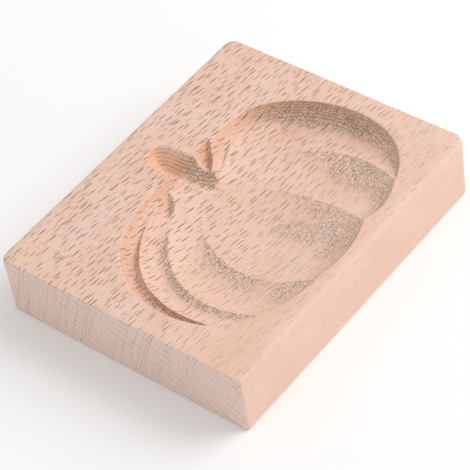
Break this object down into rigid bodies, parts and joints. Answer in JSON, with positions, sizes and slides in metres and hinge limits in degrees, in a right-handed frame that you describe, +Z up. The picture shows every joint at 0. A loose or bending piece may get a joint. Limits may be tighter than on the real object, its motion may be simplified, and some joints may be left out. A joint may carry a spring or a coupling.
{
  "type": "carved cookie stamp",
  "caption": "Flat rectangular wooden block with a lobed pumpkin and its stalk hollowed into the top face, pressed onto dough to leave a raised relief.",
  "frame": {"origin": "middle of the underside", "axes": "+X along the grain and the long side, +Y towards the pumpkin's stalk, +Z up out of the carved face"},
  "size_m": [0.1, 0.081, 0.0192],
  "materials": {
    "beech": "sanded and unfinished, with cutter marks left in the carving"
  },
  "bodies": {
    "root": {"stamp_block": "beech"}
  },
  "joints": []
}
